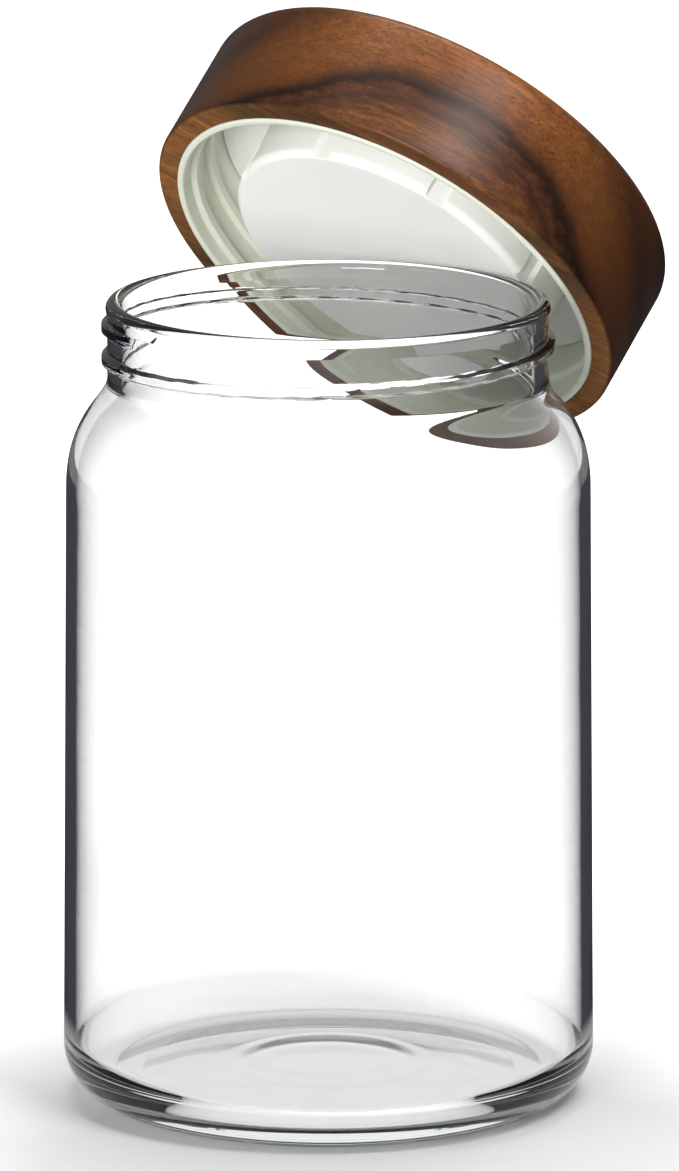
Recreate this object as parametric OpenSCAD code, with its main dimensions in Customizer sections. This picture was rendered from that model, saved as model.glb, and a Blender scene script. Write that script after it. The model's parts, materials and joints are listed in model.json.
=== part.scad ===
// Clear glass storage jar with a threaded neck, and its turned wooden screw lid with a moulded plastic liner.
// The lid is off: it leans on the back of the lip, tilted, with its open side towards the front.
// Millimetres, +Z up. The origin is on the jar's axis, in the plane that the jar stands on.

/* [Glass body] */
// Widest outside diameter, just above the heel
body_d = 101; // [90:0.5:130]
// How much smaller the body's radius is under the shoulder than above the heel
body_draft = 1; // [0:0.1:2]
// Height of the glass, from the table to the top of the lip
jar_h = 153.5; // [120:0.5:220]
// Glass thickness of the body's wall
wall = 2.1; // [1.8:0.1:3.4]
// Glass thickness of the base
base_t = 5; // [3.5:0.1:8]
// Rise of the hollow under the base
push_up = 2.5; // [1:0.1:4]
// Width of the flat ring that the jar stands on
stand_w = 5; // [3:0.5:8]
// Outside radius of the heel, between the wall and the base
heel_r = 10; // [6:0.5:13]

/* [Neck and mouth] */
// Outside diameter of the neck
neck_d = 83.2; // [70:0.2:86]
// Glass thickness of the neck
neck_wall = 2.8; // [2:0.1:3.6]
// Straight height of the neck, from the top of the lip to the shoulder
neck_h = 14.5; // [13:0.5:20]
// Height of the shoulder's curve
shoulder_h = 21.5; // [16:0.5:30]
// How far the lip's bead stands out from the neck
lip_proud = 0.3; // [0.1:0.1:0.6]
// Height of the lip's bead
lip_h = 3.2; // [2.6:0.1:4]

/* [Screw thread] */
// Rise of the thread in one turn
thread_pitch = 6; // [4:0.5:7]
// Height of the thread's ridge, on the glass and in the lid
thread_h = 1.1; // [0.8:0.1:1.4]
// Width of the ridge at its foot
thread_w = 2.6; // [1.8:0.1:3]
// Turns of the ridge round the neck
neck_turns = 1.2; // [0.8:0.05:1.3]
// Depth of the neck ridge's upper end below the top of the lip
thread_top = 4.6; // [4:0.1:5.5]
// Turns of the ridge inside the lid
lid_turns = 1.5; // [0.8:0.05:1.6]
// Height of the lid ridge's lower end above the liner's open edge
lid_thread_foot = 3; // [2:0.1:4]

/* [Lid] */
// Thickness of the wood over the liner
wood_top = 5.9; // [4:0.1:14]
// Thickness of the wood round the liner
wood_wall = 4.2; // [3:0.1:8]
// Rounding of the cap's top edge
top_edge_r = 2.2; // [1:0.1:3]
// Rounding of the cap's lower edge
rim_edge_r = 0.8; // [0.4:0.1:1.4]
// Wall thickness of the plastic liner
liner_wall = 1.4; // [1:0.1:2.4]
// Thickness of the plastic liner's closed end
liner_floor = 1.5; // [1:0.1:2.4]
// How far the liner's open edge stands below the wood
liner_proud = 0.4; // [0.2:0.1:1]
// Depth from the liner's open edge to the ring that seals on the lip
cavity_h = 16; // [15:0.5:18]
// Thickness of the sealing ring
ring_t = 1.8; // [1.2:0.1:2.6]
// Thickness of the glue between the liner and the wood
glue_t = 0.5; // [0.3:0.1:1]

/* [Plug in the lid] */
// Depth from the liner's open edge to the plug's flat face
plug_depth = 1.7; // [1.2:0.1:5]
// Rounding of the plug's edge
plug_edge_r = 1.6; // [1:0.1:4]
// Wall thickness of the hollow plug
plug_wall = 1.8; // [1.5:0.1:2.4]
// Number of snap notches round the plug
notch_count = 8; // [4:1:12]
// Width of each notch
notch_w = 3.4; // [2:0.1:6]
// How deep each notch is cut in the plug's side
notch_t = 1; // [0.4:0.1:1.2]
// Height of each notch from the plug's face
notch_h = 7; // [4:0.5:9]

/* [Fits] */
// Gap between the glass neck's ridge or lip and what passes round it in the lid
thread_gap = 0.3; // [0.2:0.05:0.6]
// Gap between the plug and the inside of the mouth
plug_gap = 6.2; // [1:0.1:9]
// Play of the sealing ring between the plug and the liner, on each side
ring_gap = 0.2; // [0.15:0.05:0.3]
// Gap between the liner's wall and the wood's bore
bore_gap = 0.1; // [0.05:0.05:0.2]

/* [Lid at rest] */
// Tilt of the lid from level
lid_tilt = 48; // [42:1:54]
// How far the middle of the lid's open edge lies behind the crest of the lip
lid_back = 1.4; // [-4:0.1:6]
// How far the middle of the lid lies to the left of the jar's axis
lid_side = 18.5; // [0:0.5:20]
// Gap between the plug and the lip that it leans on
rest_gap = 0.3; // [0.2:0.05:0.6]

/* [Hidden] */
$fn = 128;

// Steps in an arc of a profile, and in one turn of a thread
arc_steps = 12;
turn_steps = 48;

// Glass: radii, and the heights where one curve hands over to the next
body_r = body_d / 2;
top_r = body_r - body_draft;
neck_r = neck_d / 2;
mouth_r = neck_r - neck_wall;
lip_r = neck_r + lip_proud;
lip_round = (lip_r - mouth_r) / 2;
lip_mid_r = (lip_r + mouth_r) / 2;
neck_z = jar_h - neck_h;
shoulder_z = neck_z - shoulder_h;
stand_r = body_r - heel_r;
hollow_r = stand_r - stand_w;
inner_heel_r = heel_r - wall;
floor_r = body_r - wall - inner_heel_r;
// How far the shoulder's curve keeps the direction of the neck, and then that of the body
neck_pull = shoulder_h * 0.23;
body_pull = shoulder_h * 0.67;
// The inside of the shoulder lies lower than the outside, so the glass stays thick on the slope
shoulder_drop = wall / 2;

// Thread: how deep a ridge is rooted in its wall, its crest's width, and the angle it fades in over
thread_root = 0.5;
thread_crest_w = thread_w * 0.4;
thread_fade = 28;
// Where the neck ridge's upper end lies round the jar, and the lid ridge's upper end round the lid
neck_thread_angle = 248;
lid_thread_angle = 300;

// Lid: radii from the thread outwards, and heights from the liner's open edge upwards
bore_r = neck_r + thread_h + thread_gap;
liner_r = bore_r + liner_wall;
wood_bore_r = liner_r + bore_gap;
cap_r = wood_bore_r + wood_wall;
ring_back_z = cavity_h + ring_t;
liner_floor_z = ring_back_z + ring_gap;
liner_top_z = liner_floor_z + liner_floor;
recess_z = liner_top_z + glue_t;
cap_top_z = recess_z + wood_top;
liner_edge_r = liner_wall / 3;

// Plug and ring: radii, the height of the hollow's end, and the rounding inside, which follows the one outside
plug_r = mouth_r - plug_gap;
hollow_plug_r = plug_r - plug_wall;
hollow_plug_z = plug_depth + plug_wall;
hollow_edge_r = max(plug_edge_r - plug_wall, plug_wall / 4);
ring_inner_r = plug_r + ring_gap;
ring_outer_r = bore_r - ring_gap;

// Lid at rest: the plug's face leans on the back of the lip, where the lip's round top is nearest to it
lid_y = lip_mid_r + lid_back;
plug_reach = plug_depth - lip_round - rest_gap + lid_back * sin(lid_tilt);
lid_z = jar_h - lip_round - plug_reach / cos(lid_tilt);

// Points of a round stretch about a centre
function arc(centre, r, from, to) =
    [for (i = [0 : arc_steps]) let (a = from + (to - from) * i / arc_steps) centre + r * [cos(a), sin(a)]];

// Points of a smooth curve that leaves a towards b and arrives at d from c
function curve(a, b, c, d) =
    [for (i = [0 : 2 * arc_steps])
        let (t = i / (2 * arc_steps), s = 1 - t)
        pow(s, 3) * a + 3 * s * s * t * b + 3 * s * t * t * c + pow(t, 3) * d];

// Point number i of a shallow dome of radius r that rises from z by rise at its middle
function dome_point(i, r, z, rise) = [r * i / arc_steps, z + rise * (1 - pow(i / arc_steps, 2))];

// Half section of the glass: under the base, up the outside, over the lip and down the inside
function glass_section() = concat(
    [for (i = [0 : arc_steps]) dome_point(i, hollow_r, 0, push_up)],
    arc([stand_r, heel_r], heel_r, -90, 0),
    curve([top_r, shoulder_z], [top_r, shoulder_z + body_pull], [neck_r, neck_z - neck_pull], [neck_r, neck_z]),
    [[neck_r, jar_h - lip_h - lip_proud], [lip_r, jar_h - lip_h]],
    arc([lip_mid_r, jar_h - lip_round], lip_round, 0, 180),
    curve(
        [mouth_r, neck_z - shoulder_drop],
        [mouth_r, neck_z - shoulder_drop - neck_pull],
        [top_r - wall, shoulder_z - shoulder_drop + body_pull],
        [top_r - wall, shoulder_z - shoulder_drop]
    ),
    arc([floor_r, base_t + inner_heel_r], inner_heel_r, 0, -90),
    [for (i = [arc_steps - 1 : -1 : 0]) dome_point(i, floor_r, base_t, push_up)]
);

// One right-handed ridge of a screw thread on a wall of radius wall_r.
// side is 1 for a ridge on the outside of the wall and -1 for one on the inside.
module thread_ridge(wall_r, side, turns, top_z, top_angle) {
    rings = ceil(turns * turn_steps);
    sweep = 360 * turns;
    // Height of the ridge over the wall, below zero at the two faded ends
    function rise(a) =
        let (k = min(1, a / thread_fade, (sweep - a) / thread_fade))
        (thread_h + thread_root / 2) * sin(90 * k) - thread_root / 2;
    function corner(a, r, dz) =
        [r * cos(top_angle - a), r * sin(top_angle - a), top_z - thread_pitch * a / 360 + dz];
    points = [for (i = [0 : rings])
        let (
            a = sweep * i / rings,
            root_r = wall_r - side * thread_root,
            crest_r = wall_r + side * rise(a)
        )
        each [
            corner(a, root_r, -thread_w / 2),
            corner(a, root_r, thread_w / 2),
            corner(a, crest_r, thread_crest_w / 2),
            corner(a, crest_r, -thread_crest_w / 2)
        ]];
    last = 4 * rings;
    sides = [for (i = [0 : rings - 1], j = [0 : 3])
        let (a = 4 * i + j, b = 4 * i + (j + 1) % 4)
        each [[a, b, a + 4], [b, b + 4, a + 4]]];
    ends = [[0, 2, 1], [0, 3, 2], [last, last + 1, last + 2], [last, last + 2, last + 3]];
    faces = concat(sides, ends);
    polyhedron(points, side > 0 ? faces : [for (f = faces) [f[2], f[1], f[0]]]);
}

// Puts what is drawn with the liner's open edge at z = 0 where the lid leans on the jar
module on_the_lip() {
    translate([-lid_side, lid_y, lid_z]) rotate([-lid_tilt, 0, 0]) children();
}

// Moulded glass in one piece: body, shoulder, neck with its thread, and rounded lip
module glass_jar() {
    color([0.86, 0.92, 0.92, 0.4]) union() {
        rotate_extrude() polygon(glass_section());
        thread_ridge(neck_r, 1, neck_turns, jar_h - thread_top, neck_thread_angle);
    }
}

// Soft flat ring at the end of the groove in the lid, which the lip seals on
module sealing_ring() {
    color([0.95, 0.95, 0.93]) on_the_lip() rotate_extrude()
        translate([ring_inner_r, cavity_h]) square([ring_outer_r - ring_inner_r, ring_t]);
}

// Hollow white plug on the liner's closed end, with a round edge and snap notches round its side
module inner_plug() {
    section = concat(
        [[0, plug_depth]],
        arc([plug_r - plug_edge_r, plug_depth + plug_edge_r], plug_edge_r, -90, 0),
        [[plug_r, liner_floor_z], [hollow_plug_r, liner_floor_z]],
        arc([hollow_plug_r - hollow_edge_r, hollow_plug_z + hollow_edge_r], hollow_edge_r, 0, -90),
        [[0, hollow_plug_z]]
    );
    color([0.94, 0.94, 0.92]) on_the_lip() difference() {
        rotate_extrude() polygon(section);
        for (i = [0 : notch_count - 1])
            rotate([0, 0, 360 * i / notch_count])
                translate([plug_r - notch_t, -notch_w / 2, plug_depth]) cube([2 * notch_t, notch_w, notch_h]);
    }
}

// White plastic cup that lines the cap, with the lid's thread
module threaded_liner() {
    section = concat(
        arc([bore_r + liner_edge_r, liner_edge_r], liner_edge_r, 180, 270),
        arc([liner_r - liner_edge_r, liner_edge_r], liner_edge_r, 270, 360),
        [[liner_r, liner_top_z], [0, liner_top_z], [0, liner_floor_z], [bore_r, liner_floor_z]]
    );
    color([0.9, 0.91, 0.88]) on_the_lip() union() {
        rotate_extrude() polygon(section);
        thread_ridge(bore_r, -1, lid_turns, lid_thread_foot + lid_turns * thread_pitch, lid_thread_angle);
    }
}

// Layer of cured glue between the liner's closed end and the wood
module glue_bed() {
    color([0.82, 0.72, 0.5])
        on_the_lip() translate([0, 0, liner_top_z]) cylinder(r = bore_r, h = glue_t);
}

// Solid wooden cap, turned from one block and bored out for the liner
module wooden_cap() {
    section = concat(
        [[wood_bore_r, liner_proud]],
        arc([cap_r - rim_edge_r, liner_proud + rim_edge_r], rim_edge_r, 270, 360),
        arc([cap_r - top_edge_r, cap_top_z - top_edge_r], top_edge_r, 0, 90),
        [[0, cap_top_z], [0, recess_z], [wood_bore_r, recess_z]]
    );
    color([0.36, 0.2, 0.11]) on_the_lip() rotate_extrude() polygon(section);
}

glass_jar();
sealing_ring();
inner_plug();
threaded_liner();
glue_bed();
wooden_cap();
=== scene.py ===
"""Clear glass storage jar with a turned wooden screw lid, which is off and leans on the back of the lip.

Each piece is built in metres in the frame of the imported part, +Z up, in the order in which the jar and
its lid are put together.
"""
import json
import math

import bmesh
import bpy
from mathutils import Matrix, Vector, geometry


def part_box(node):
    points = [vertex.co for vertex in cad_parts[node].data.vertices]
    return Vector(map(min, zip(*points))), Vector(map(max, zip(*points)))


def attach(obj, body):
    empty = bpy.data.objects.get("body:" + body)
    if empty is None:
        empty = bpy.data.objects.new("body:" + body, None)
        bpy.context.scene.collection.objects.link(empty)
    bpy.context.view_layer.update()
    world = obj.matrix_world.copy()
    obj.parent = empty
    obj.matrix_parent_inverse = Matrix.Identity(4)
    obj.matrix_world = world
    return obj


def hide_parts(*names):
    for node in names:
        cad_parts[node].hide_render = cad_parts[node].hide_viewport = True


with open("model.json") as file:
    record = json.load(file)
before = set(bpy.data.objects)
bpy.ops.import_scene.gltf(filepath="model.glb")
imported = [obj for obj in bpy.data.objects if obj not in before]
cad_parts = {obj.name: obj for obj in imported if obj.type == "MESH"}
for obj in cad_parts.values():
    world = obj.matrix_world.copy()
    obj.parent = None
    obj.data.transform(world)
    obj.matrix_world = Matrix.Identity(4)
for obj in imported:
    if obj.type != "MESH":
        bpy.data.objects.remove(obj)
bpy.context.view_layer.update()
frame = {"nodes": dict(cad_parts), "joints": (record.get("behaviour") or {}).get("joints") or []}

# Glass jar
# One piece of clear soda-lime glass, blown in a mould. It has a thick base with a hollow under it, a round
# heel and shoulder, and a straight neck with a raised screw thread under a fire-polished lip.
mm = 0.001
glass_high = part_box("glass_jar")[1]
body_r = glass_high.x
body_draft = 1 * mm
top_r = body_r - body_draft
jar_h = glass_high.z
wall = 2.1 * mm
base_t = 5 * mm
push_up = 2.5 * mm
heel_r = 10 * mm
inner_heel_r = heel_r - wall
stand_r = body_r - heel_r
stand_w = 5 * mm
neck_r = 41.6 * mm
neck_wall = 2.8 * mm
mouth_r = neck_r - neck_wall
neck_h = 14.5 * mm
neck_z = jar_h - neck_h
shoulder_h = 21.5 * mm
shoulder_z = neck_z - shoulder_h
shoulder_drop = wall / 2
shoulder_points = 40
neck_pull = 0.23 * shoulder_h
body_pull = 0.67 * shoulder_h
lip_h = 3.2 * mm
lip_z = jar_h - lip_h
lip_proud = 0.3 * mm
lip_r = neck_r + lip_proud
lip_round = (lip_r - mouth_r) / 2
valve_mark_r = 17 * mm
valve_mark_w = 2.4 * mm
valve_mark_h = 0.05 * mm
thread_pitch = 6 * mm
thread_h = 1.1 * mm
thread_w = 2.6 * mm
thread_crest_w = 1.3 * mm
thread_fade_deg = 28
neck_turns = 1.2
thread_top = 4.6 * mm
neck_thread_deg = 248
doubles_within = 0.002 * mm
on_wall_within = 0.01 * mm


def point(r, z):
    """A point of a half section, at radius r and height z."""
    return Vector((r, 0, z))


def straight(start, stop, steps):
    """Points of a straight stretch of a half section."""
    return [start.lerp(stop, i / steps) for i in range(steps + 1)]


def arc(centre, radius, start, stop, steps):
    """Points of a round stretch of a half section, between two angles in degrees."""
    angles = [math.radians(start + (stop - start) * i / steps) for i in range(steps + 1)]
    return [centre + radius * point(math.cos(a), math.sin(a)) for a in angles]


def dome(edge_r, edge_z):
    """The base's shallow dome from its middle to its edge, with the ring that the mould's valve leaves."""
    heights = []
    for p in straight(point(0, 0), point(edge_r, 0), steps=60):
        mark = math.exp(-((p.x - valve_mark_r) / valve_mark_w) ** 2)
        heights.append(point(p.x, edge_z + push_up * (1 - (p.x / edge_r) ** 2) - valve_mark_h * mark))
    return heights


def turned(outline, steps):
    """A closed mesh turned about Z from a half section, with its doubles merged and its faces outwards."""
    shape = bmesh.new()
    corners = [shape.verts.new(p) for p in outline]
    sides = [shape.edges.new(pair) for pair in zip(corners, corners[1:])]
    bmesh.ops.spin(shape, geom=corners + sides, cent=(0, 0, 0), axis=(0, 0, 1), angle=2 * math.pi,
                   steps=steps, use_merge=True)
    bmesh.ops.remove_doubles(shape, verts=shape.verts, dist=doubles_within)
    bmesh.ops.recalc_face_normals(shape, faces=shape.faces)
    return shape


def eased(share):
    """A share from 0 to 1 that starts and stops gently."""
    share = min(max(share, 0), 1)
    return share * share * (3 - 2 * share)


def degrees_round(place):
    """The angle of a place round the Z axis, in degrees."""
    return math.degrees(math.atan2(place.y, place.x))


def ridge_height(place, top_z, top_deg, turns):
    """Height of a screw thread over its wall. The ridge falls clockwise from its upper end."""
    height = 0
    for turn in range(math.ceil(turns)):
        along = (top_deg - degrees_round(place)) % 360 + 360 * turn
        from_crest = abs(top_z - thread_pitch * along / 360 - place.z)
        flank = (thread_w - 2 * from_crest) / (thread_w - thread_crest_w)
        fade = min(along, 360 * turns - along) / thread_fade_deg
        height = max(height, thread_h * eased(flank) * eased(fade))
    return height


def raise_thread(shape, wall_r, side, top_z, top_deg, turns):
    """Raises a screw thread on the round wall of a mesh, outwards for a side of 1 and inwards for -1."""
    for vert in shape.verts:
        radius = vert.co.xy.length
        if abs(radius - wall_r) < on_wall_within:
            rise = ridge_height(vert.co, top_z, top_deg, turns)
            vert.co.xy *= (radius + side * rise) / radius


def finished(name, shape, material, crease):
    """The object of a finished mesh, smooth but for edges that turn by more than crease degrees."""
    mesh = bpy.data.meshes.new(name)
    shape.to_mesh(mesh)
    shape.free()
    mesh.shade_smooth()
    mesh.set_sharp_from_angle(angle=math.radians(crease))
    mesh.materials.append(material)
    piece = bpy.data.objects.new(name, mesh)
    bpy.context.scene.collection.objects.link(piece)
    return piece


outer_shoulder = geometry.interpolate_bezier(
    point(top_r, shoulder_z), point(top_r, shoulder_z + body_pull),
    point(neck_r, neck_z - neck_pull), point(neck_r, neck_z), shoulder_points)
inner_top = point(mouth_r, neck_z - shoulder_drop)
inner_foot = point(top_r - wall, shoulder_z - shoulder_drop)
inner_shoulder = geometry.interpolate_bezier(
    inner_top, inner_top - point(0, neck_pull),
    inner_foot + point(0, body_pull), inner_foot, shoulder_points)
glass_shape = turned(
    dome(stand_r - stand_w, 0)
    + arc(point(stand_r, heel_r), heel_r, start=-90, stop=0, steps=24)
    + outer_shoulder
    + straight(point(neck_r, neck_z), point(neck_r, lip_z - lip_proud), steps=64)
    + arc(point(lip_r - lip_round, jar_h - lip_round), lip_round, start=0, stop=180, steps=24)
    + inner_shoulder
    + arc(point(stand_r, base_t + inner_heel_r), inner_heel_r, start=0, stop=-90, steps=24)
    + dome(stand_r, base_t)[::-1],
    steps=256)
raise_thread(glass_shape, neck_r, 1, jar_h - thread_top, neck_thread_deg, neck_turns)


def linear(code):
    """The linear colour of an sRGB hex value."""
    parts = [int(code[i:i + 2], 16) / 255 for i in (1, 3, 5)]
    return [c / 12.92 if c <= 0.04045 else ((c + 0.055) / 1.055) ** 2.4 for c in parts] + [1]


def new_tree(owner):
    """The emptied node tree of a material or world."""
    owner.use_nodes = True
    owner.node_tree.nodes.clear()
    return owner.node_tree


def add_node(tree, kind, inputs, **settings):
    """Adds a node, sets its settings, and links or sets its inputs by name or number."""
    node = tree.nodes.new("ShaderNode" + kind)
    for name, value in settings.items():
        setattr(node, name, value)
    for name, value in inputs.items():
        if isinstance(value, bpy.types.NodeSocket):
            tree.links.new(value, node.inputs[name])
        else:
            node.inputs[name].default_value = value
    return node


# Clear flint glass from a mould: colourless but for a faint green in its thickness, and very slightly wavy.
mould_wave_mm = 24
clear_glass = bpy.data.materials.new("moulded_clear_glass")
tree = new_tree(clear_glass)
place = add_node(tree, "TexCoord", {}).outputs["Object"]
mould_wave = add_node(tree, "TexNoise", {
    "Vector": place, "Scale": 1 / (mould_wave_mm * mm), "Detail": 1})
wave_bump = add_node(tree, "Bump", {
    "Height": mould_wave.outputs["Fac"], "Strength": 0.03, "Distance": 2 * mm})
shader = add_node(tree, "BsdfPrincipled", {
    "Base Color": linear("#ffffff"), "Roughness": 0.0, "IOR": 1.5, "Transmission Weight": 1,
    "Normal": wave_bump.outputs["Normal"]})
depth_tint = add_node(tree, "VolumeAbsorption", {"Color": linear("#e6efeb"), "Density": 8})
add_node(tree, "OutputMaterial", {
    "Surface": shader.outputs["BSDF"], "Volume": depth_tint.outputs["Volume"]})

jar_glass = finished("jar_glass", glass_shape, clear_glass, crease=40)
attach(jar_glass, "jar")
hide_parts("glass_jar")

# Threaded liner
# Injection-moulded white polypropylene cup that is glued into the wood. The ridge of its thread fits the
# neck, and its open edge stands a little proud of the wood.
lid_joint = next(joint for joint in frame["joints"] if joint["name"] == "lid_turn")
lid_tilt = Vector((0, 0, 1)).rotation_difference(Vector(lid_joint["axis"]))
lid_place = Matrix.Translation(lid_joint["pos_m"]) @ lid_tilt.to_matrix().to_4x4()
thread_gap = 0.3 * mm
bore_r = neck_r + thread_h + thread_gap
liner_wall = 1.4 * mm
liner_r = bore_r + liner_wall
liner_edge_r = 0.46 * mm
seal_z = 16 * mm
ring_t = 1.8 * mm
ring_gap = 0.2 * mm
ring_back_z = seal_z + ring_t
liner_floor_z = ring_back_z + ring_gap
liner_floor = 1.5 * mm
liner_top_z = liner_floor_z + liner_floor
lid_turns = 1.5
lid_thread_foot = 3 * mm
lid_thread_z = lid_thread_foot + lid_turns * thread_pitch
lid_thread_deg = 300
liner_shape = turned(
    [point(0, liner_floor_z), point(bore_r, liner_floor_z)]
    + straight(point(bore_r, liner_floor_z), point(bore_r, liner_edge_r), steps=110)
    + arc(point(bore_r + liner_edge_r, liner_edge_r), liner_edge_r, start=180, stop=270, steps=8)
    + arc(point(liner_r - liner_edge_r, liner_edge_r), liner_edge_r, start=270, stop=360, steps=8)
    + [point(liner_r, liner_top_z), point(0, liner_top_z)],
    steps=360)
raise_thread(liner_shape, bore_r, -1, lid_thread_z, lid_thread_deg, lid_turns)
liner_shape.transform(lid_place)


def moulded_plastic(name, cloud_mm, tones, grain_mm, grain_strength, roughness, ior):
    """A moulded plastic that is cloudy between two close tones and has the fine grain of its mould."""
    plastic = bpy.data.materials.new(name)
    tree = new_tree(plastic)
    place = add_node(tree, "TexCoord", {}).outputs["Object"]
    cloud = add_node(tree, "TexNoise", {"Vector": place, "Scale": 1 / (cloud_mm * mm), "Detail": 3})
    tone = add_node(tree, "MixRGB", {
        "Fac": cloud.outputs["Fac"], "Color1": linear(tones[0]), "Color2": linear(tones[1])})
    grain = add_node(tree, "TexNoise", {"Vector": place, "Scale": 1 / (grain_mm * mm), "Detail": 2})
    grain_bump = add_node(tree, "Bump", {
        "Height": grain.outputs["Fac"], "Strength": grain_strength, "Distance": 0.05 * mm})
    shader = add_node(tree, "BsdfPrincipled", {
        "Base Color": tone.outputs["Color"], "Roughness": roughness, "IOR": ior,
        "Normal": grain_bump.outputs["Normal"]})
    add_node(tree, "OutputMaterial", {"Surface": shader.outputs["BSDF"]})
    return plastic


# Polypropylene: an off-white with a faint green, satin from the mould, a little cloudy.
polypropylene = moulded_plastic(
    "moulded_white_polypropylene", cloud_mm=9, tones=("#e4e8d5", "#eef1e2"), grain_mm=0.6,
    grain_strength=0.1, roughness=0.38, ior=1.49)

liner = finished("lid_liner", liner_shape, polypropylene, crease=30)
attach(liner, "lid")
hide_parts("threaded_liner")

# Inner plug
# Hollow plug of white polyethylene, moulded with a round edge and snapped on the liner's closed end. Eight
# shallow notches round its side are where the snaps hold. Its flat face is nearly level with the rim.
plug_gap = 6.2 * mm
plug_r = mouth_r - plug_gap
plug_z = 1.7 * mm
plug_edge_r = 1.6 * mm
plug_wall = 1.8 * mm
hollow_r = plug_r - plug_wall
hollow_edge_r = 0.45 * mm
hollow_z = plug_z + plug_wall
notch_step_deg = 45
notch_deg = 6.1
notch_t = 1 * mm
notch_h = 7 * mm
notch_z = plug_z + notch_h
notch_ledge = 0.1 * mm
plug_shape = turned(
    straight(point(0, plug_z), point(plug_r - plug_edge_r, plug_z), steps=10)
    + arc(point(plug_r - plug_edge_r, plug_z + plug_edge_r), plug_edge_r, start=-90, stop=0, steps=16)
    + straight(point(plug_r, plug_z + plug_edge_r), point(plug_r, notch_z - notch_ledge), steps=8)
    + [point(plug_r, notch_z + notch_ledge), point(plug_r, liner_floor_z), point(hollow_r, liner_floor_z)]
    + arc(point(hollow_r - hollow_edge_r, hollow_z + hollow_edge_r), hollow_edge_r,
          start=0, stop=-90, steps=8)
    + [point(0, hollow_z)],
    steps=360)
half_step = notch_step_deg / 2
for vert in plug_shape.verts:
    from_notch = abs((degrees_round(vert.co) + half_step) % notch_step_deg - half_step)
    radius = vert.co.xy.length
    if from_notch < notch_deg / 2 and vert.co.z < notch_z and radius > plug_r - notch_t:
        vert.co.xy *= (plug_r - notch_t) / radius
plug_shape.transform(lid_place)

# Polyethylene: a purer white than the liner, waxy and satin, with flow clouds too faint to see one by one.
polyethylene = moulded_plastic(
    "moulded_white_polyethylene", cloud_mm=14, tones=("#f5f6f0", "#fafaf6"), grain_mm=0.5,
    grain_strength=0.12, roughness=0.5, ior=1.51)

plug = finished("lid_plug", plug_shape, polyethylene, crease=30)
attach(plug, "lid")
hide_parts("inner_plug")

# Sealing ring
# Flat ring die-cut from soft white polyethylene foam. It lies loose at the end of the groove between the
# plug and the liner's wall, and the lip presses on it.
ring_inner_r = plug_r + ring_gap
ring_outer_r = bore_r - ring_gap
ring_edge_r = 0.4 * mm
ring_edge_z = seal_z + ring_edge_r
ring_shape = turned(
    arc(point(ring_inner_r + ring_edge_r, ring_edge_z), ring_edge_r, start=180, stop=270, steps=6)
    + arc(point(ring_outer_r - ring_edge_r, ring_edge_z), ring_edge_r, start=270, stop=360, steps=6)
    + [point(ring_outer_r, ring_back_z), point(ring_inner_r, ring_back_z),
       point(ring_inner_r, ring_edge_z)],
    steps=192)
ring_shape.transform(lid_place)

# Closed-cell foam: matt, near white, and finely pitted by its cells.
foam_cell_mm = 0.5
foam = bpy.data.materials.new("white_polyethylene_foam")
tree = new_tree(foam)
place = add_node(tree, "TexCoord", {}).outputs["Object"]
cells = add_node(tree, "TexVoronoi", {"Vector": place, "Scale": 1 / (foam_cell_mm * mm)})
tone = add_node(tree, "MixRGB", {
    "Fac": cells.outputs["Distance"], "Color1": linear("#eeefeb"), "Color2": linear("#f6f6f3")})
cell_bump = add_node(tree, "Bump", {
    "Height": cells.outputs["Distance"], "Strength": 0.3, "Distance": 0.1 * mm})
shader = add_node(tree, "BsdfPrincipled", {
    "Base Color": tone.outputs["Color"], "Roughness": 0.65, "IOR": 1.45,
    "Normal": cell_bump.outputs["Normal"]})
add_node(tree, "OutputMaterial", {"Surface": shader.outputs["BSDF"]})

seal_ring = finished("seal_ring", ring_shape, foam, crease=40)
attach(seal_ring, "seal")
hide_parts("sealing_ring")

# Glue bed
# Thin layer of cured hot-melt glue that holds the liner in the wood. It is closed in on all sides, so the
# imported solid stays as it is.

# Hot-melt glue: amber and shiny, with the pale swirls in which it was spread.
glue_swirl_mm = 6
glue = bpy.data.materials.new("cured_hot_melt_glue")
tree = new_tree(glue)
place = add_node(tree, "TexCoord", {}).outputs["Object"]
swirl = add_node(tree, "TexNoise", {"Vector": place, "Scale": 1 / (glue_swirl_mm * mm), "Detail": 2})
tone = add_node(tree, "MixRGB", {
    "Fac": swirl.outputs["Fac"], "Color1": linear("#c9b078"), "Color2": linear("#dccb9c")})
shader = add_node(tree, "BsdfPrincipled", {
    "Base Color": tone.outputs["Color"], "Roughness": 0.3, "IOR": 1.48})
add_node(tree, "OutputMaterial", {"Surface": shader.outputs["BSDF"]})

glue_bed = frame["nodes"]["glue_bed"]
glue_bed.data.materials.clear()
glue_bed.data.materials.append(glue)

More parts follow.
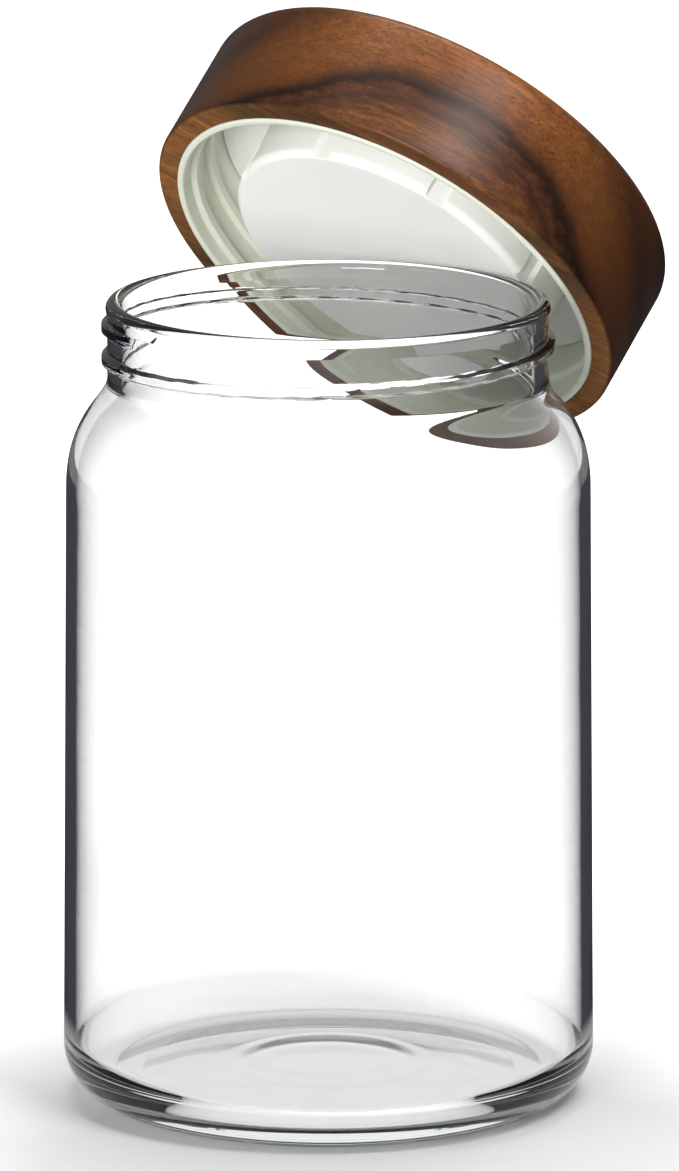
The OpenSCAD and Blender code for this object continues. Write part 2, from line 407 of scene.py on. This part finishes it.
# Wooden cap
# Turned from one block of walnut with its grain lying across the cap, bored out for the liner, sanded and
# finished with oil. Its sawn lower edge stays paler, most of all at the ends of the board. End grain is
# darker, and the cap's two ends, where its round side turns away, are darkened further as painted shade.
bore_gap = 0.1 * mm
wood_bore_r = liner_r + bore_gap
wood_wall = 4.2 * mm
cap_r = wood_bore_r + wood_wall
wood_low_z = 0.4 * mm
glue_t = 0.5 * mm
recess_z = liner_top_z + glue_t
wood_top = 5.9 * mm
cap_top_z = recess_z + wood_top
top_edge_r = 2.2 * mm
rim_edge_r = 0.8 * mm
cap_shape = turned(
    straight(point(0, recess_z), point(wood_bore_r, recess_z), steps=8)
    + straight(point(wood_bore_r, recess_z), point(wood_bore_r, wood_low_z), steps=8)
    + arc(point(cap_r - rim_edge_r, wood_low_z + rim_edge_r), rim_edge_r, start=270, stop=360, steps=10)
    + arc(point(cap_r - top_edge_r, cap_top_z - top_edge_r), top_edge_r, start=0, stop=90, steps=12)
    + straight(point(cap_r - top_edge_r, cap_top_z), point(0, cap_top_z), steps=8),
    steps=256)
cap_shape.transform(lid_place)

# Walnut: growth rings round a heart that lay above the cap, streaked along the grain, with fibres and short
# pores. The pores are drawn about twice as wide as real ones, so that they show at this distance.
grain_turn = math.radians(36)
heart_mm = 60
ring_range_mm = (40, 89)
figure_wave_mm = 10
streak_wave_mm = 3
ring_tones = (
    (0.0, "#6c4021"), (0.12, "#512d17"), (0.2, "#754523"), (0.34, "#5e371b"), (0.46, "#834f24"),
    (0.57, "#804b23"), (0.63, "#6a3c1b"), (0.665, "#3a2010"), (0.685, "#24130a"), (0.7, "#402313"),
    (0.725, "#54301a"), (0.75, "#3b2213"), (0.77, "#4e2c17"), (0.82, "#693f1f"), (0.87, "#58331b"),
    (0.93, "#7f4e26"), (1.0, "#754624"))
sawn_tone = "#cf9c5e"
sawn_edge_mm = (0.9, 0.5)
pale_end_mm = (22, 44)
pore_tone = "#2f1e14"

# Each mark's length, width and depth in the board in millimetres, and how finely it breaks up.
mark_sizes = {
    "figure": ((55, 22, 22), 3), "streaks": ((45, 1.3, 1.3), 3),
    "fibres": ((24, 0.6, 0.6), 3), "pores": ((2.2, 0.28, 0.28), 1)}

walnut = bpy.data.materials.new("oiled_walnut")
tree = new_tree(walnut)
grain_place = lid_place @ Matrix.Rotation(grain_turn, 4, "Z")
surface = add_node(tree, "TexCoord", {})
board = add_node(tree, "Mapping", {
    "Vector": surface.outputs["Object"], "Location": grain_place.translation,
    "Rotation": grain_place.to_euler()}, vector_type="TEXTURE")
board_mm = add_node(tree, "VectorMath", {
    0: board.outputs["Vector"], "Scale": 1 / mm}, operation="SCALE")
spot = board_mm.outputs["Vector"]
marks = {}
for name, (size_mm, detail) in mark_sizes.items():
    mark_place = add_node(tree, "VectorMath", {0: spot, 1: size_mm}, operation="DIVIDE")
    marks[name] = add_node(tree, "TexNoise", {
        "Vector": mark_place.outputs["Vector"], "Scale": 1, "Detail": detail}).outputs["Fac"]

# Growth rings are round the heart, waved by the figure and frayed by the streaks.
from_heart = add_node(tree, "VectorMath", {
    0: spot, 1: (0, 1, 1), 2: (0, 0, -heart_mm)}, operation="MULTIPLY_ADD")
ring_r = add_node(tree, "VectorMath", {0: from_heart.outputs["Vector"]}, operation="LENGTH")
wavy_r = add_node(tree, "Math", {
    0: marks["figure"], 1: figure_wave_mm, 2: ring_r.outputs["Value"]}, operation="MULTIPLY_ADD")
streaky_r = add_node(tree, "Math", {
    0: marks["streaks"], 1: streak_wave_mm, 2: wavy_r.outputs["Value"]}, operation="MULTIPLY_ADD")
ring_place = add_node(tree, "MapRange", {
    "Value": streaky_r.outputs["Value"], "From Min": ring_range_mm[0], "From Max": ring_range_mm[1]})
rings = add_node(tree, "ValToRGB", {"Fac": ring_place.outputs["Result"]})
rings.color_ramp.elements[0].color = linear(ring_tones[0][1])
rings.color_ramp.elements[1].color = linear(ring_tones[-1][1])
for share, tone in ring_tones[1:-1]:
    rings.color_ramp.elements.new(share).color = linear(tone)

# The sawn edge is a thin pale line along the rim.
axes = add_node(tree, "SeparateXYZ", {"Vector": spot})
from_middle = add_node(tree, "Math", {0: axes.outputs["X"]}, operation="ABSOLUTE")
paleness = add_node(tree, "MapRange", {
    "Value": from_middle.outputs["Value"], "From Min": pale_end_mm[0], "From Max": pale_end_mm[1],
    "To Min": 0.06, "To Max": 0.2})
sawn = add_node(tree, "MapRange", {
    "Value": axes.outputs["Z"], "From Min": sawn_edge_mm[0], "From Max": sawn_edge_mm[1],
    "To Min": 0, "To Max": paleness.outputs["Result"]})
edged = add_node(tree, "MixRGB", {
    "Fac": sawn.outputs["Result"], "Color1": rings.outputs["Color"], "Color2": linear(sawn_tone)})

# Streaks, fibres and pores run along the grain, so they show less where the cap is cut across it.
along_grain = add_node(tree, "VectorMath", {
    0: surface.outputs["Normal"], 1: grain_place.col[0].xyz}, operation="DOT_PRODUCT")
end_grain = add_node(tree, "Math", {0: along_grain.outputs["Value"]}, operation="ABSOLUTE")
long_grain = add_node(tree, "MapRange", {
    "Value": end_grain.outputs["Value"], "From Min": 0.35, "From Max": 0.85, "To Min": 1, "To Max": 0.3})
shown = {}
for name in ("streaks", "fibres", "pores"):
    shown[name] = add_node(tree, "Mix", {
        "Factor": long_grain.outputs["Result"], "A": 0.5, "B": marks[name]}).outputs["Result"]
streak_tone = add_node(tree, "MapRange", {
    "Value": shown["streaks"], "From Min": 0.3, "From Max": 0.7, "To Min": 0.66, "To Max": 1.2})
streaked = add_node(tree, "VectorMath", {
    0: edged.outputs["Color"], "Scale": streak_tone.outputs["Result"]}, operation="SCALE")
fibre_tone = add_node(tree, "MapRange", {
    "Value": shown["fibres"], "From Min": 0.3, "From Max": 0.7, "To Min": 0.72, "To Max": 1.2})
fibred = add_node(tree, "VectorMath", {
    0: streaked.outputs["Vector"], "Scale": fibre_tone.outputs["Result"]}, operation="SCALE")
pore_share = add_node(tree, "MapRange", {
    "Value": shown["pores"], "From Min": 0.54, "From Max": 0.68, "To Min": 0, "To Max": 0.6})
pored = add_node(tree, "MixRGB", {
    "Fac": pore_share.outputs["Result"], "Color1": fibred.outputs["Vector"], "Color2": linear(pore_tone)})
# End grain is darker, and the same factor also paints shade on the cap's two ends, where its round side
# turns away.
end_grain_and_painted_shade = add_node(tree, "MapRange", {
    "Value": end_grain.outputs["Value"], "From Min": 0.15, "From Max": 0.95, "To Min": 1, "To Max": 0.2})
oiled_and_shaded = add_node(tree, "VectorMath", {
    0: pored.outputs["Color"], "Scale": end_grain_and_painted_shade.outputs["Result"]}, operation="SCALE")
pore_bump = add_node(tree, "Bump", {
    "Height": shown["pores"], "Strength": 0.25, "Distance": -0.1 * mm})
shader = add_node(tree, "BsdfPrincipled", {
    "Base Color": oiled_and_shaded.outputs["Vector"], "Roughness": 0.36, "IOR": 1.5, "Specular IOR Level": 0.2,
    "Normal": pore_bump.outputs["Normal"]})
add_node(tree, "OutputMaterial", {"Surface": shader.outputs["BSDF"]})

cap = finished("lid_wood", cap_shape, walnut, crease=40)
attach(cap, "lid")
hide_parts("wooden_cap")

# Floor and light
# A white table under soft boxes and an even sky. Both are white where the camera sees them, direct or
# through glass, and dimmer where they light the jar or are mirrored, as with black flags in a studio,
# which draws the edges of the glass.
photo_turn = 37
photo_rise = 12.39
sky_level = 0.22
table_level = 0.68
bounce_level = 0.4
flag_tone = linear("#414046")
flag_full_r = 1.7 * body_r
floor_size = 5

# The table glows white, but for a painted shade in front of the jar, where its glow falls off.
shade_ahead = 55 * mm
shade_turn = 12
shade_reach = (62 * mm, 170 * mm)
glow_near = 0.02
glow_far = 0.9
glow_through_glass = 0.58

# A ray's count of bounces of one kind passes this at its first such bounce.
bounced = 0.5


def direction(turn, rise):
    """The direction from the jar to a place, by its turn from the front and its rise, in degrees."""
    turn, rise = math.radians(turn), math.radians(rise)
    return Vector((math.sin(turn) * math.cos(rise), -math.cos(turn) * math.cos(rise), math.sin(rise)))


world = bpy.data.worlds.new("studio")
bpy.context.scene.world = world
tree = new_tree(world)
path = add_node(tree, "LightPath", {})
seen = add_node(tree, "Math", {0: path.outputs["Diffuse Depth"], 1: bounced}, operation="LESS_THAN")
direct = add_node(tree, "Math", {0: path.outputs["Glossy Depth"], 1: bounced}, operation="LESS_THAN")
through = add_node(tree, "Math", {
    0: path.outputs["Transmission Depth"], 1: bounced}, operation="GREATER_THAN")
clear_way = add_node(tree, "Math", {
    0: direct.outputs["Value"], 1: through.outputs["Value"]}, operation="MAXIMUM")
white_share = add_node(tree, "Math", {
    0: seen.outputs["Value"], 1: clear_way.outputs["Value"]}, operation="MULTIPLY")
sky = add_node(tree, "MapRange", {
    "Value": white_share.outputs["Value"], "To Min": sky_level, "To Max": 1})
light = add_node(tree, "Background", {"Color": linear("#ffffff"), "Strength": sky.outputs["Result"]})
add_node(tree, "OutputWorld", {"Surface": light.outputs["Background"]})

white_table = bpy.data.materials.new("white_table")
tree = new_tree(white_table)
path = add_node(tree, "LightPath", {})
seen = add_node(tree, "Math", {0: path.outputs["Diffuse Depth"], 1: bounced}, operation="LESS_THAN")
through = add_node(tree, "Math", {
    0: path.outputs["Transmission Depth"], 1: bounced}, operation="GREATER_THAN")
table_place = add_node(tree, "TexCoord", {}).outputs["Object"]
from_jar = add_node(tree, "VectorMath", {0: table_place}, operation="LENGTH")
beside_jar = add_node(tree, "MapRange", {
    "Value": from_jar.outputs["Value"], "From Min": body_r, "From Max": flag_full_r})
mirrored = add_node(tree, "Math", {
    0: path.outputs["Glossy Depth"], 1: seen.outputs["Value"]}, operation="MULTIPLY")
flagged = add_node(tree, "Math", {
    0: mirrored.outputs["Value"], 1: beside_jar.outputs["Result"]}, operation="MULTIPLY", use_clamp=True)
from_shade = add_node(tree, "VectorMath", {
    0: table_place, 1: shade_ahead * direction(photo_turn + shade_turn, 0)}, operation="DISTANCE")
open_glow = add_node(tree, "MapRange", {
    "Value": from_shade.outputs["Value"], "From Min": shade_reach[0], "From Max": shade_reach[1],
    "To Min": glow_near, "To Max": glow_far})
glass_glow = add_node(tree, "Math", {
    0: through.outputs["Value"], 1: glow_through_glass}, operation="MULTIPLY")
glow_level = add_node(tree, "Math", {
    0: open_glow.outputs["Result"], 1: glass_glow.outputs["Value"]}, operation="MAXIMUM")
glow_share = add_node(tree, "Math", {
    0: seen.outputs["Value"], 1: glow_level.outputs["Value"]}, operation="MULTIPLY")
table_tone = add_node(tree, "MapRange", {
    "Value": seen.outputs["Value"], "To Min": bounce_level, "To Max": table_level})
lit = add_node(tree, "BsdfDiffuse", {"Color": table_tone.outputs["Result"]})
glow = add_node(tree, "Emission", {"Strength": glow_share.outputs["Value"]})
table = add_node(tree, "AddShader", {0: lit.outputs["BSDF"], 1: glow.outputs["Emission"]})
flag = add_node(tree, "Emission", {"Color": flag_tone})
side = add_node(tree, "MixShader", {
    0: flagged.outputs["Value"], 1: table.outputs["Shader"], 2: flag.outputs["Emission"]})
add_node(tree, "OutputMaterial", {"Surface": side.outputs["Shader"]})
floor_shape = bmesh.new()
bmesh.ops.create_grid(floor_shape, x_segments=1, y_segments=1, size=floor_size)
floor = finished("floor", floor_shape, white_table, crease=40)

lamp_aim_z = 100 * mm


def soft_box(name, turn, rise, away, width, power):
    """A square soft lamp at an angle from the photograph's view, aimed at the middle of the jar."""
    lamp_data = bpy.data.lights.new(name, "AREA")
    lamp_data.size = width
    lamp_data.energy = power
    lamp = bpy.data.objects.new(name, lamp_data)
    bpy.context.scene.collection.objects.link(lamp)
    way = direction(photo_turn + turn, rise)
    lamp.location = Vector((0, 0, lamp_aim_z)) + away * way
    lamp.rotation_euler = way.to_track_quat("Z", "Y").to_euler()
    lamp.visible_camera = False
    lamp.visible_transmission = False


soft_box("key_box", turn=-20, rise=8, away=1.4, width=0.6, power=17.5)
soft_box("top_box", turn=165, rise=76, away=1.4, width=0.9, power=12.6)
soft_box("sheen_box", turn=40, rise=53, away=1.2, width=0.4, power=8.5)
soft_box("shoulder_box", turn=-58, rise=32, away=1.15, width=0.28, power=1.1)

# Camera
# A long lens at the photograph's angle, far off and a little above the mouth. It aims at the middle of the
# jar with its lid, a little to the right of the jar's axis.
lens_mm = 309
sensor_mm = 36
aim_z = 98.4 * mm
aim_right = 2.1 * mm
camera_away = 1.9
camera_data = bpy.data.cameras.new("camera")
camera_data.lens = lens_mm
camera_data.sensor_width = sensor_mm
camera = bpy.data.objects.new("camera", camera_data)
bpy.context.scene.collection.objects.link(camera)
view_back = direction(photo_turn, photo_rise)
view_right = direction(photo_turn + 90, 0)
aim = Vector((0, 0, aim_z)) + aim_right * view_right
camera.location = aim + camera_away * view_back
camera.rotation_euler = view_back.to_track_quat("Z", "Y").to_euler()
bpy.context.scene.camera = camera

bpy.context.scene.view_settings.view_transform = "Standard"
